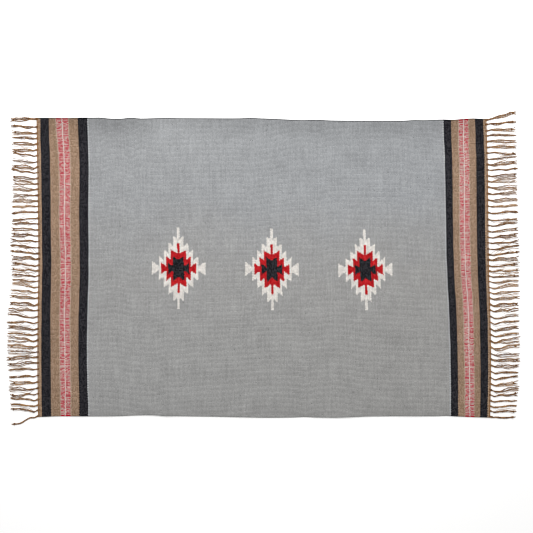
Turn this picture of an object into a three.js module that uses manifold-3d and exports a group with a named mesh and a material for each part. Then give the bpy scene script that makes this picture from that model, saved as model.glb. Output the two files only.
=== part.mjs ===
// A flat-woven rug: one striped cloth with a knotted warp fringe along each end.
// Millimetres, +Z up. It lies on the floor at z = 0 and its warps run along X.
// The origin is on the floor under the middle of the rug, fringes included.
import * as THREE from 'three';
import { mergeVertices } from 'three/addons/utils/BufferGeometryUtils.js';
import Module from 'manifold-3d';

const wasm = await Module();
wasm.setup();

// Driving dimensions of the woven cloth
const CLOTH_LEFT = -907;
const CLOTH_RIGHT = 899;
const CLOTH_NEAR = -594;
const CLOTH_FAR = 598;
const CLOTH_THICKNESS = 4;
const SELVEDGE_ROUNDING = 1;

// Driving dimensions of the fringes
const STRIP_WIDTH = 15;
const STRIP_GAP = 0.3;
const STRANDS = 52;
const CORNER_INSET = 4;
const ROOT_DEPTH = 8;
const ROOT_WANDER = 1.5;
const LEAN_WANDER = 4;
const SWAY_WANDER = 2.5;
const REACH_WANDER = 3;
const STRAND_TOP_SHARE = 0.6;

// What tells the wanders of a strand apart, and how they are scrambled
const TRAIT = { root: 1, reach: 2, lean: 3, sway: 4 };
const STRAND_STRIDE = 12.9898;
const TRAIT_STRIDE = 78.233;
const SCRAMBLE = 4375.8545;

// How finely the outline is followed
const STEPS_ALONG = 24;
const STEPS_ACROSS = 12;
const LEVELS = 2;

// The selvedges aren't straight: how far each lies outside its nominal line, from the left end
// to the right in even steps.
const SELVEDGE_DRIFT = [
  { far: 4, near: 1.5 },
  { far: 7.5, near: -0.5 },
  { far: 1, near: -2 },
  { far: 1.5, near: -6 },
  { far: 3, near: -1.5 },
  { far: 2.5, near: 0.5 },
  { far: 2, near: 4 },
  { far: -4.5, near: 3 },
  { far: -6.5, near: 3 },
  { far: -8, near: -2.5 },
  { far: -6.5, near: -2 },
  { far: -1, near: -1 },
  { far: 0, near: 4 },
];

// The woven ends aren't straight either: how far each lies outside its nominal line, from the
// near selvedge to the far one in even steps.
const END_DRIFT = [
  { left: -1.5, right: 4.5 },
  { left: 1, right: 8 },
  { left: 0, right: 5.5 },
  { left: -3, right: -0.5 },
  { left: -1.5, right: -3 },
  { left: 1.5, right: -5 },
  { left: 4.5, right: -10.5 },
];

// How the strands of each fringe lie, from the near selvedge to the far one in even steps:
// how far the roots lie aside of even spacing, how far the strands reach, how far they bend aside
// just outside the cloth, and how far the tip ends aside of the root. Aside is along +Y.
const LEFT_LIE = [
  { root: 0, reach: 106, bend: -4, lean: 8 },
  { root: -5, reach: 108, bend: -2, lean: -5 },
  { root: 2, reach: 116, bend: 1, lean: -5 },
  { root: 0, reach: 118, bend: -2, lean: 2 },
  { root: 2, reach: 118, bend: -2, lean: 5 },
  { root: 5, reach: 105, bend: 0, lean: 10 },
  { root: -1, reach: 106, bend: -1, lean: 7 },
  { root: -1, reach: 108, bend: 2, lean: 6 },
  { root: 0, reach: 103, bend: 3, lean: -4 },
  { root: -2, reach: 100, bend: 0, lean: 2 },
  { root: -6, reach: 99, bend: -3, lean: 7 },
  { root: -8, reach: 95, bend: -1, lean: 3 },
  { root: -11, reach: 102, bend: 2, lean: 1 },
];
const RIGHT_LIE = [
  { root: 0, reach: 100, bend: -3, lean: -2 },
  { root: -8, reach: 107, bend: -5, lean: 3 },
  { root: -5, reach: 109, bend: -6, lean: 0 },
  { root: -1, reach: 113, bend: -6, lean: 3 },
  { root: 6, reach: 111, bend: -7, lean: 4 },
  { root: 7, reach: 116, bend: -4, lean: 5 },
  { root: 0, reach: 119, bend: -3, lean: 6 },
  { root: -3, reach: 118, bend: -2, lean: 8 },
  { root: -1, reach: 117, bend: -2, lean: 5 },
  { root: 9, reach: 116, bend: -3, lean: 1 },
  { root: 8, reach: 115, bend: -2, lean: 8 },
  { root: 5, reach: 114, bend: 3, lean: 0 },
  { root: 4, reach: 117, bend: 3, lean: 8 },
];

// Neighbouring strands whose tips lie together: how far the strand leans towards the next one,
// which leans back as far. The strands are counted from the near selvedge.
const LEFT_PAIRS = [
  { strand: 3, together: 5 },
  { strand: 11, together: 5 },
  { strand: 17, together: 3 },
  { strand: 22, together: 5 },
  { strand: 29, together: 3 },
  { strand: 33, together: 5 },
  { strand: 42, together: 4 },
  { strand: 45, together: 5.5 },
];
const RIGHT_PAIRS = [
  { strand: 7, together: 3 },
  { strand: 16, together: 3 },
  { strand: 22, together: 4 },
  { strand: 29, together: 5 },
  { strand: 33, together: 6 },
  { strand: 38, together: 5 },
  { strand: 44, together: 6 },
];

// The outermost strand that sweeps away from the rest: how much further its tip leans.
const LEFT_STRAY = { strand: 0, sweep: -38 };
const RIGHT_STRAY = { strand: 51, sweep: 20 };

// Sections of a strand from root to tip: the share of the reach, how much of the bend and of the
// lean it has taken, its share of the sway, and its width and height. The last three are the
// overhand knot and the short cut ends beyond it.
const SECTIONS = [
  { share: 0, bend: 0, lean: 0, sway: 0, width: 5.4, height: 3.4 },
  { share: 0.15, bend: 1, lean: 0.05, sway: 0, width: 6, height: 4.4 },
  { share: 0.38, bend: 0.7, lean: 0.3, sway: 1, width: 6.4, height: 4.4 },
  { share: 0.64, bend: 0.3, lean: 0.65, sway: -0.8, width: 6, height: 4.2 },
  { share: 0.83, bend: 0.1, lean: 0.9, sway: -0.2, width: 5.4, height: 4.2 },
  { share: 0.89, bend: 0, lean: 0.95, sway: 0, width: 8.6, height: 6 },
  { share: 0.94, bend: 0, lean: 0.98, sway: 0, width: 5.6, height: 4 },
  { share: 1, bend: 0, lean: 1, sway: 0, width: 7, height: 2.6 },
];

const LEFT_FRINGE = {
  name: 'fringe_left',
  end: 'left',
  outward: -1,
  lie: LEFT_LIE,
  pairs: LEFT_PAIRS,
  stray: LEFT_STRAY,
};
const RIGHT_FRINGE = {
  name: 'fringe_right',
  end: 'right',
  outward: 1,
  lie: RIGHT_LIE,
  pairs: RIGHT_PAIRS,
  stray: RIGHT_STRAY,
};

const COTTON_GREY = new THREE.MeshStandardMaterial({ color: 0x9fa1a2, roughness: 0.95, metalness: 0 });
const COTTON_BROWN = new THREE.MeshStandardMaterial({ color: 0x745238, roughness: 0.95, metalness: 0 });

// A column of a table at a share from 0 to 1 of its length, on a smooth curve through its rows.
function along(rows, column, share) {
  const last = rows.length - 1;
  const place = share * last;
  const row = Math.min(Math.floor(place), last - 1);
  const t = place - row;
  const value = (index) => rows[Math.min(Math.max(index, 0), last)][column];
  const slopeIn = (value(row + 1) - value(row - 1)) / 2;
  const slopeOut = (value(row + 2) - value(row)) / 2;
  const rise = value(row + 1) - value(row);
  return value(row) + t * slopeIn + t * t * (3 * rise - 2 * slopeIn - slopeOut)
    + t * t * t * (slopeIn + slopeOut - 2 * rise);
}

// A number from -1 to 1 that looks random and is always the same for the same strand and trait.
function wander(strand, trait) {
  const wave = Math.sin(strand * STRAND_STRIDE + trait * TRAIT_STRIDE) * SCRAMBLE;
  return 2 * (wave - Math.floor(wave)) - 1;
}

// Where the woven cloth ends in X, at a share of the way from the near selvedge to the far one.
function endLine(end, share) {
  const drift = along(END_DRIFT, end, share);
  return end === 'left' ? CLOTH_LEFT - drift : CLOTH_RIGHT + drift;
}

// Where a selvedge lies in Y, at a share of the way from the left end to the right one.
function selvedgeLine(side, share) {
  const drift = along(SELVEDGE_DRIFT, side, share);
  return side === 'near' ? CLOTH_NEAR - drift : CLOTH_FAR + drift;
}

// A box cut into segments, whose points place(a, b, c) moves from the unit cube to millimetres.
function shapedBox(segments, place) {
  const box = new THREE.BoxGeometry(1, 1, 1, ...segments);
  box.deleteAttribute('normal');
  box.deleteAttribute('uv');
  const geometry = mergeVertices(box);
  const points = geometry.getAttribute('position');
  const point = new THREE.Vector3();
  for (let index = 0; index < points.count; index += 1) {
    point.fromBufferAttribute(points, index).addScalar(0.5);
    points.setXYZ(index, ...place(point.x, point.y, point.z));
  }
  return geometry;
}

// A level slab of the cloth between two X lines, with its selvedges rounded over.
function wovenSlab(stepsAlong, leftLine, rightLine) {
  return shapedBox([stepsAlong, STEPS_ACROSS, LEVELS], (a, b, c) => {
    const x = THREE.MathUtils.lerp(leftLine(b), rightLine(b), a);
    const share = (x - CLOTH_LEFT) / (CLOTH_RIGHT - CLOTH_LEFT);
    const held = THREE.MathUtils.clamp(share, 0, 1);
    const inset = SELVEDGE_ROUNDING * Math.abs(2 * c - 1);
    const near = selvedgeLine('near', held) + inset;
    const far = selvedgeLine('far', held) - inset;
    return [x, THREE.MathUtils.lerp(near, far, b), c * CLOTH_THICKNESS];
  });
}

// How far the tip of a strand leans beside what its stretch of the fringe does.
function ownLean(fringe, index) {
  if (index === fringe.stray.strand) {
    return fringe.stray.sweep;
  }
  const towards = fringe.pairs.find((pair) => pair.strand === index);
  const back = fringe.pairs.find((pair) => pair.strand + 1 === index);
  if (towards || back) {
    return towards ? towards.together : -back.together;
  }
  return LEAN_WANDER * wander(index, TRAIT.lean);
}

// One strand of four sides, lying level on the floor, from inside the strip to its cut ends.
function strand(fringe, index) {
  const b = index / (STRANDS - 1);
  const atEnd = fringe.end === 'left' ? 0 : 1;
  const near = selvedgeLine('near', atEnd) + CORNER_INSET;
  const far = selvedgeLine('far', atEnd) - CORNER_INSET;
  const isInner = index > 0 && index < STRANDS - 1;
  const shift = isInner ? along(fringe.lie, 'root', b) + ROOT_WANDER * wander(index, TRAIT.root) : 0;
  const root = THREE.MathUtils.lerp(near, far, b) + shift;
  const reach = along(fringe.lie, 'reach', b) + REACH_WANDER * wander(index, TRAIT.reach);
  const bend = along(fringe.lie, 'bend', b);
  const lean = along(fringe.lie, 'lean', b) + ownLean(fringe, index);
  const sway = SWAY_WANDER * wander(index, TRAIT.sway);
  const edge = endLine(fringe.end, b);
  const steps = SECTIONS.length;
  return shapedBox([steps, 1, 1], (a, side, top) => {
    const station = Math.round(a * steps);
    const section = SECTIONS[Math.max(station - 1, 0)];
    const out = station === 0 ? -ROOT_DEPTH : section.share * reach;
    const aside = section.bend * bend + section.lean * lean + section.sway * sway;
    const width = section.width * THREE.MathUtils.lerp(1, STRAND_TOP_SHARE, top);
    return [
      edge + fringe.outward * out,
      root + aside + fringe.outward * (side - 0.5) * width,
      top * section.height,
    ];
  });
}

function solidOf(geometry) {
  const vertProperties = geometry.getAttribute('position').array;
  const triVerts = new Uint32Array(geometry.getIndex().array);
  return new wasm.Manifold(new wasm.Mesh({ numProp: 3, vertProperties, triVerts }));
}

function geometryOf(solid) {
  const mesh = solid.getMesh();
  const geometry = new THREE.BufferGeometry();
  geometry.setAttribute('position', new THREE.BufferAttribute(mesh.vertProperties, 3));
  geometry.setIndex(new THREE.BufferAttribute(mesh.triVerts, 1));
  return geometry;
}

// The cloth's outermost strip, parted from the rest, with its strands fused into its end.
function fringeGeometry(fringe) {
  const outer = (b) => endLine(fringe.end, b);
  const inner = (b) => outer(b) - fringe.outward * STRIP_WIDTH;
  const lines = fringe.outward < 0 ? [outer, inner] : [inner, outer];
  let solid = solidOf(wovenSlab(1, ...lines));
  for (let index = 0; index < STRANDS; index += 1) {
    solid = solid.add(solidOf(strand(fringe, index)));
  }
  return geometryOf(solid);
}

function clothGeometry() {
  const inset = STRIP_WIDTH + STRIP_GAP;
  return wovenSlab(STEPS_ALONG, (b) => endLine('left', b) + inset, (b) => endLine('right', b) - inset);
}

function namedMesh(name, geometry, material) {
  geometry.computeVertexNormals();
  const mesh = new THREE.Mesh(geometry, material);
  mesh.name = name;
  return mesh;
}

const rug = new THREE.Group();
rug.add(namedMesh('rug_cloth', clothGeometry(), COTTON_GREY));
for (const fringe of [LEFT_FRINGE, RIGHT_FRINGE]) {
  rug.add(namedMesh(fringe.name, fringeGeometry(fringe), COTTON_BROWN));
}

export default rug;
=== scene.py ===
import bpy
import numpy as np
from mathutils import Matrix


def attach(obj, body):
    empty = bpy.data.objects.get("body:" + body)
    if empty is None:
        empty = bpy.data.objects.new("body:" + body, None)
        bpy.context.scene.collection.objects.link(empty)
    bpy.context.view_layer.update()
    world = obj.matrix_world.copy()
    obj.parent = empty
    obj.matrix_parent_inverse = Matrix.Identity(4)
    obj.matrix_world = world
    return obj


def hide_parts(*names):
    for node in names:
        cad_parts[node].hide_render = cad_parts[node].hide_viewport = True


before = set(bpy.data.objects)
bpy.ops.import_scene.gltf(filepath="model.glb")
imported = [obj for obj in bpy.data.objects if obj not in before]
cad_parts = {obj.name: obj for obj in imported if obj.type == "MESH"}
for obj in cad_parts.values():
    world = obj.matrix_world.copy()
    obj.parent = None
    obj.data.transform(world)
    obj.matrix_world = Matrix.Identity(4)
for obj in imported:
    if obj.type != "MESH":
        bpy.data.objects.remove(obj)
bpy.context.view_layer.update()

# Camera. The rug is seen from straight above, square to its sides, through a long lens that
# shows both ends at one scale. A pixel of the 533 by 533 picture is 4 mm of floor.
MM = 0.001
PICTURE_PIXELS = 533
PIXEL_ON_FLOOR = 4 * MM
PICTURE_MIDDLE = (8 * MM, 8 * MM)
LENS = 200.0
SENSOR = 36.0
FILM_BLUR = 1.05

camera = bpy.data.objects.new("camera", bpy.data.cameras.new("camera"))
camera.data.lens = LENS
camera.data.sensor_width = SENSOR
camera.data.clip_end = 100.0
camera.location = (*PICTURE_MIDDLE, PICTURE_PIXELS * PIXEL_ON_FLOOR * LENS / SENSOR)
bpy.context.scene.collection.objects.link(camera)
bpy.context.scene.camera = camera
bpy.context.scene.cycles.filter_width = FILM_BLUR

# Woven cloth. A weft-faced flat weave of thick cotton: the warps run along X, hidden under the
# wefts, and show as ribs. The wefts are packed down over them from selvedge to selvedge, turn
# round the outermost warps, and their change of colour makes the stripes and the diamonds.
CLOTH_ENDS = {"left": -907 * MM, "right": 899 * MM}
SELVEDGES = {"near": -594 * MM, "far": 598 * MM}
CLOTH_LENGTH = CLOTH_ENDS["right"] - CLOTH_ENDS["left"]
CLOTH_WIDTH = SELVEDGES["far"] - SELVEDGES["near"]
THICKNESS = 4.1 * MM
RIBS = 245
RIB_PITCH = CLOTH_WIDTH / RIBS
RIB_DEPTH = 1.0 * MM
SAMPLES_PER_RIB = 3
SELVEDGE_CORD = 4.4 * MM
SELVEDGE_TURN = np.radians(np.linspace(-90, 140, 9))
PICK_PITCH = 1.8 * MM
EDGE_CORD = 4.6 * MM
ROWS_ALONG = 108
FIRST_ROW = 12 * MM
UNDER_STEP = 9
# How the cloth rounds down at an end: how far in its outer rows lie, and their share of its height
END_ROWS = ((1.2, 0), (0, 0.5), (0.5, 0.9), (2, 1))
# The shares of the baked map's height where the top ends and the underside starts
MAP_TOP = 0.66
MAP_UNDER = 0.67

# How far the selvedges lie outside their nominal lines, from the left end to the right
SELVEDGE_DRIFT = {
    "far": (4, 7.5, 1, 1.5, 3, 2.5, 2, -4.5, -6.5, -8, -6.5, -1, 0),
    "near": (-0.2, -2.2, -3.7, -7.7, -3.2, -1.2, 2.3, 1.3, 1.3, -4.2, -3.7, -2.7, 2.3),
}
# Short swells and nips of the selvedges: the distance from the left end, how far out, half width
SELVEDGE_BUMPS = {
    "far": (
        (120, -3.8, 60), (250, 2.4, 24), (372, 4.6, 24), (500, 2.2, 60), (852, 1.8, 26),
        (1116, 2.7, 36), (1506, 2.2, 28), (1660, -2.6, 26), (1740, 2.2, 26),
    ),
    "near": (
        (85, -1.8, 60), (512, 2.2, 32), (1068, -2, 26), (1204, 0.6, 46), (1372, 1.4, 60), (1634, -2, 22),
    ),
}
# Where the slack cloth stands off the floor: the distances from the left end and the near selvedge,
# the half sizes along and across, and how high it stands
SLACK_PLACES = (
    (372, 1192, 75, 60, 2.4),
    (620, 1192, 60, 36, 1.2),
    (852, 1192, 60, 50, 1.6),
    (1116, 1192, 85, 65, 2.2),
    (1506, 1192, 75, 60, 2.0),
    (300, 0, 60, 40, 1.3),
    (512, 0, 85, 70, 2.4),
    (800, 0, 70, 36, 1.2),
    (1204, 0, 95, 65, 2.2),
    (1470, 0, 60, 45, 1.4),
    (551, 1020, 190, 80, 1.5),
    (930, 850, 230, 70, 1.3),
    (400, 360, 150, 110, 1.7),
    (1270, 390, 200, 90, 1.5),
    (1470, 800, 110, 140, 1.4),
    (720, 220, 160, 80, 1.3),
)
# Lighter and darker places of the field: the distances from the left end and the near selvedge, the
# half sizes along and across, and how much lighter or darker it is there
FIELD_PATCHES = (
    (551, 1150, 120, 64, 0.14),
    (880, 1150, 50, 50, 0.05),
    (1123, 1154, 26, 50, -0.04),
    (1451, 1166, 60, 36, -0.04),
    (1431, 966, 36, 30, 0.035),
    (883, 890, 26, 34, 0.03),
    (539, 854, 40, 50, -0.03),
    (907, 302, 28, 32, -0.04),
    (1391, 318, 34, 56, -0.045),
    (291, 306, 36, 30, -0.025),
    (411, 218, 50, 34, 0.025),
    (663, 206, 40, 30, 0.025),
    (290, 1180, 110, 60, -0.13),
    (985, 1026, 170, 55, -0.065),
    (1350, 1030, 120, 50, -0.045),
    (523, 836, 110, 60, -0.035),
    (900, 846, 70, 50, -0.03),
    (1391, 330, 60, 50, -0.025),
    (330, 230, 170, 100, 0.045),
    (1523, 146, 80, 50, 0.035),
)
# Painted shade along each selvedge: how far in it reaches, and how much darker it is
MARGIN_SHADE = {"near": (45, -0.045), "far": (75, -0.185)}
# How far the ends, the outer black stripes' inner edges, the red bands' outer edges, the white lines
# and the grey field's ends lie outside their nominal lines, from the near selvedge to the far one
END_DRIFT = {
    "left": (-1.2, 1.3, 0.3, -2.7, -1.2, 1.8, 4.8),
    "right": (3.6, 7.1, 4.6, -1.4, -3.9, -5.9, -11.4),
}
BLACK_DRIFT = {
    "left": (-2, -0.6, 0.4, -3.1, -0.4, 0.8, 6.8),
    "right": (8.4, 9.3, 6.3, -2.5, -5.8, -7.3, -12.2),
}
BAND_DRIFT = {
    "left": (-6, -2.5, -2, -5, 0, -0.3, 14.5),
    "right": (11, 10.5, 7.2, -3.5, -6, -9, -13.2),
}
LINE_DRIFT = {
    "left": (-2.8, -2.8, 0.4, -3.6, 0.4, -0.4, 9.6),
    "right": (13.6, 11.6, 8, -3.6, -8.4, -8.8, -11.6),
}
FIELD_DRIFT = {
    "left": (-1.6, 3.6, 2.4, -2.8, -1.6, -2.8, 2.8),
    "right": (13.6, 13.2, 7.2, -2, -6.4, -9.6, -16.4),
}

# Stripes from each end inwards: the yarn, and the stripe's width at the left and the right end
STRIPES = (
    ("end tan", 14.5, 12.6),
    ("black", 36.2, 31.6),
    ("tan", 32.9, 25.2),
    ("ivory", 3.0, 3.0),
    ("red and ivory", 19.2, 17.6),
    ("white line", 2.9, 2.9),
    ("red and ivory", 19.4, 16.0),
    ("ivory", 3.6, 3.6),
    ("tan", 33.2, 26.0),
    ("black", 35.4, 29.4),
    ("pale grey", 5.0, 5.0),
)

# Diamonds: where the middle one lies from the left end and the near selvedge, how far apart they
# are, and how their row slants
DIAMOND_MIDDLE = (936.8 * MM, 591.4 * MM)
DIAMOND_SPACING = 374.6 * MM
DIAMOND_ROW_SLANT = 0.0021
# The teeth of a quarter of a diamond: for each yarn the slant of its columns and then, for each
# tooth, its inner and outer distance along X and how far it reaches there along Y
DIAMOND_TEETH = {
    "white": (0.009, (
        (0, 5.2, 162, 162),
        (0, 20.4, 115, 130),
        (20, 39.8, 90, 103),
        (39.6, 59, 61, 76),
        (58.8, 79, 34, 48.4),
        (77, 108.4, 7, 28.4),
    )),
    "red": (0.016, (
        (0, 4.8, 99, 99),
        (0, 31, 57, 75),
        (30.6, 49, 34.5, 49),
        (46, 70.8, 7, 23),
    )),
    "ink": (0.035, (
        (0, 22, 34, 50),
        (19, 42, 7, 22),
    )),
}

# How much brighter than its dye a yarn looks in the studio light
LIGHT_LEVEL = 1.12


def dyed(red, green, blue):
    """The linear colour of a yarn, from its red, green and blue as 0 to 255 as it looks when lit."""
    levels = np.array((red, green, blue)) / 255
    linear = np.where(levels > 0.04045, ((levels + 0.055) / 1.055) ** 2.4, levels / 12.92)
    return (*linear / LIGHT_LEVEL, 1.0)


YARNS = {
    "cool grey": dyed(159.8, 162, 164.4),
    "warm grey": dyed(160.5, 160, 158.5),
    "pale grey": dyed(174, 176, 178),
    "tan": dyed(144, 118, 96),
    "faded tan": dyed(168, 142, 120),
    "end tan": dyed(154, 126, 101),
    "faded end tan": dyed(178, 150, 124),
    "black": dyed(26, 26, 31),
    "faded black": dyed(54, 53, 57),
    "ivory": dyed(180, 160, 142),
    "white line": dyed(214, 201, 195),
    "stripe red": dyed(190, 72, 82),
    "stripe ivory": dyed(201, 174, 166),
    "spot red": dyed(190, 20, 40),
    "white": dyed(218, 213, 207),
    "faded white": dyed(230, 226, 220),
    "red": dyed(164, 20, 26),
    "faded red": dyed(198, 40, 44),
    "ink": dyed(22, 22, 26),
    "faded ink": dyed(50, 50, 54),
}

# Unevenness of the weave: its waves to a metre along and across, how fine it is, and its range
GRAINS = {
    "waver": (9, 14, 1, -1.2, 1.2),
    "slip": (50, 30, 1, 0, 2),
    "wash": (4, 5, 2, -0.3, 0.7),
    "weft streak": (170, 8, 1, 0.84, 1.16),
    "warp streak": (7, 120, 1, 0.96, 1.04),
    "cloud": (15, 15, 3, 0.85, 1.15),
    "slub": (105, 105, 1, 0.88, 1.12),
    "two bobbins": (12, 7, 1, -0.07, 0.07),
    "fibre": (2400, 500, 2, 0, 1),
}
# Red and ivory: how many ribs they share in turn, how long a dash of one tone is, how far in from a
# selvedge only the red shows, and how red a bead is by its turn, by its dash and along the cloth
RED_TURN = 2.5
DASH_LENGTH = 8 * MM
RED_EDGE = 6 * MM
REDNESS = {"turn": (-0.27, 0.27), "dash": (0.2, 0.84), "along": (0.03, -0.05)}
# How faded a bead of the other yarns is: by itself, by its weft and by its dash
FADING = {"bead": (-0.6, 1.1), "weft": (0, 0.3), "dash": (0, 0.25)}
# How cool the grey is: between two shares of the width, and how strongly from the left to the right
COOLNESS = {"shares": (0.4, 0.8), "across": (-0.5, 1), "along": (0.5, 1.1)}
# How light a bead is: by itself, as one of the rare specks, with painted light on its crown and
# painted shade in its hollows and at the selvedges, with the share of specks and how far in the
# selvedge shade reaches
TONES = {
    "bead": (0.91, 1.09),
    "speck": (1, 0.72),
    "rib hollow": (1.02, 0.86),
    "bead hollow": (1.03, 0.85),
    "near selvedge": (1, 0.75),
    "far selvedge": (1, 0.5),
}
SPECKS = 0.0012
SHADED_EDGE = 3.6 * MM
# How a bead stands up: how sharply the painted shade darkens its hollows and how sharply it sinks into
# them, how high it is on its crown and in the hollows across and along, and how high its fibres are
HOLLOW_SHARPNESS = 4
CROWN_SHARPNESS = 2
CROWNS = {"rib": (1, 0.4), "bead": (1, 0.2)}
FIBRE_RELIEF = 0.25


def smooth_through(stations, values, places):
    """Values between stations, on cubic pieces whose slope at a station is that of the line from
    the station before to the one after. The end values repeat one step past the ends."""
    stations = np.asarray(stations, float)
    values = np.asarray(values, float)
    ends = 2 * stations[0] - stations[1], 2 * stations[-1] - stations[-2]
    wide_stations = np.concatenate(([ends[0]], stations, [ends[1]]))
    wide_values = np.concatenate((values[:1], values, values[-1:]))
    slopes = (wide_values[2:] - wide_values[:-2]) / (wide_stations[2:] - wide_stations[:-2])
    places = np.clip(places, stations[0], stations[-1])
    left = np.clip(np.searchsorted(stations, places, "right") - 1, 0, len(stations) - 2)
    gap = stations[left + 1] - stations[left]
    t = (places - stations[left]) / gap
    rise = values[left + 1] - values[left]
    slope_in = slopes[left] * gap
    slope_out = slopes[left + 1] * gap
    return (values[left] + t * slope_in + t**2 * (3 * rise - 2 * slope_in - slope_out)
            + t**3 * (slope_in + slope_out - 2 * rise))


def drift(rows, share):
    """A drift in metres at a share of the way along its even rows of millimetres."""
    return MM * smooth_through(np.linspace(0, 1, len(rows)), rows, share)


def swell(places, middle, half_width):
    """A bell curve of places in metres, from its middle and half width in millimetres."""
    return np.exp(-((places / MM - middle) / half_width) ** 2)


def selvedge_line(side, x):
    """Where a selvedge lies in Y at each X: its nominal line, its drift outwards, and a bell curve for
    each swell and nip."""
    outward = 1 if side == "far" else -1
    along = x - CLOTH_ENDS["left"]
    moved = drift(SELVEDGE_DRIFT[side], along / CLOTH_LENGTH)
    for place, out, half_width in SELVEDGE_BUMPS[side]:
        moved = moved + MM * out * swell(along, place, half_width)
    return SELVEDGES[side] + outward * moved


def stripe_reach(end, last):
    """How far the stripes reach inwards from an end, up to and with the stripe of that number."""
    return MM * sum(stripe[1 if end == "left" else 2] for stripe in STRIPES[:last + 1])


def woven_x(along, share):
    """X of each weft, at distances along the cloth by shares of its width: the distance plus the
    drifts of the ends, the stripes and the field's ends, straight in between, none midway."""
    names = [name for name, *widths in STRIPES]
    white_line = names.index("white line")
    stations, shifts = [], []
    for end, outward in (("left", -1), ("right", 1)):
        line = stripe_reach(end, white_line) - MM * STRIPES[white_line][1] / 2
        drifts = {
            0: END_DRIFT,
            stripe_reach(end, names.index("black")): BLACK_DRIFT,
            stripe_reach(end, names.index("tan")): BAND_DRIFT,
            line: LINE_DRIFT,
            stripe_reach(end, names.index("pale grey") - 1): FIELD_DRIFT,
        }
        for reach, rows in drifts.items():
            stations.append(reach if end == "left" else CLOTH_LENGTH - reach)
            shifts.append(outward * drift(rows[end], share))
    stations.append(CLOTH_LENGTH / 2)
    shifts.append(np.zeros_like(share))
    order = np.argsort(stations)
    hats = np.array([np.interp(along, np.array(stations)[order], row) for row in np.eye(len(order))])
    return CLOTH_ENDS["left"] + along[:, None] + hats.T @ np.array(shifts)[order]


def mesh_piece(name, points, face_sets):
    """A smooth mesh object from an array of points and arrays of faces, each array with its own
    number of corners."""
    mesh = bpy.data.meshes.new(name)
    corners = np.concatenate([faces.ravel() for faces in face_sets])
    sizes = np.concatenate([np.full(len(faces), faces.shape[1]) for faces in face_sets])
    mesh.vertices.add(len(points))
    mesh.vertices.foreach_set("co", np.ascontiguousarray(points, np.float32).ravel())
    mesh.loops.add(len(corners))
    mesh.loops.foreach_set("vertex_index", corners.astype(np.int32))
    mesh.polygons.add(len(sizes))
    mesh.polygons.foreach_set("loop_start", (np.cumsum(sizes) - sizes).astype(np.int32))
    mesh.update(calc_edges=True)
    mesh.shade_smooth()
    piece = bpy.data.objects.new(name, mesh)
    bpy.context.scene.collection.objects.link(piece)
    return piece


def add_places(piece, name, places):
    """Stores three numbers for each point of a piece, for its material to read by that name."""
    stored = piece.data.attributes.new(name, "FLOAT_VECTOR", "POINT")
    stored.data.foreach_set("vector", np.ascontiguousarray(places, np.float32).ravel())


def add_map(piece, corner_places):
    """Gives a piece the map that its finish is baked through, a place for each face corner."""
    layer = piece.data.uv_layers.new(name="OFBake")
    layer.data.foreach_set("uv", np.ascontiguousarray(corner_places, np.float32).ravel())


def face_corners(piece):
    """The number of the point at each face corner of a piece."""
    corners = np.empty(len(piece.data.loops), np.int32)
    piece.data.loops.foreach_get("vertex_index", corners)
    return corners


def unrolled(steps):
    """Shares from 0 to 1 of the way along a line, from the lengths of its steps."""
    reached = np.concatenate(([0], np.cumsum(steps)))
    return reached / reached[-1]


def woven_section():
    """Distance from the near selvedge and height of the cloth's top across its width: a round cord
    at each selvedge, and between them a rectified sine wave, one rib to each warp."""
    cord = SELVEDGE_CORD / 2
    cord_offset = cord * (1 - np.cos(SELVEDGE_TURN))
    cord_height = cord * (1 + np.sin(SELVEDGE_TURN))
    inner = np.arange(SAMPLES_PER_RIB, (RIBS - 1) * SAMPLES_PER_RIB + 1) * RIB_PITCH / SAMPLES_PER_RIB
    inner_height = THICKNESS - RIB_DEPTH * (1 - np.abs(np.sin(np.pi * inner / RIB_PITCH)))
    offset = np.concatenate((cord_offset, inner, CLOTH_WIDTH - cord_offset[::-1]))
    return offset, np.concatenate((cord_height, inner_height, cord_height[::-1]))


def slack_rise(along, offset):
    """How far the cloth stands off the floor, at distances along it by distances across it: a bell
    curve along times one across for each slack place."""
    rise = np.zeros((len(along), len(offset)))
    for place_along, place_across, half_along, half_across, height in SLACK_PLACES:
        along_it = swell(along, place_along, half_along)
        rise += MM * height * np.outer(along_it, swell(offset, place_across, half_across))
    return rise


def top_and_under(grid, beneath):
    """The rows of a grid of the cloth's top, and after them those that its underside repeats."""
    return np.concatenate([part.reshape(-1, grid.shape[-1]) for part in (grid, grid[beneath])])


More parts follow.
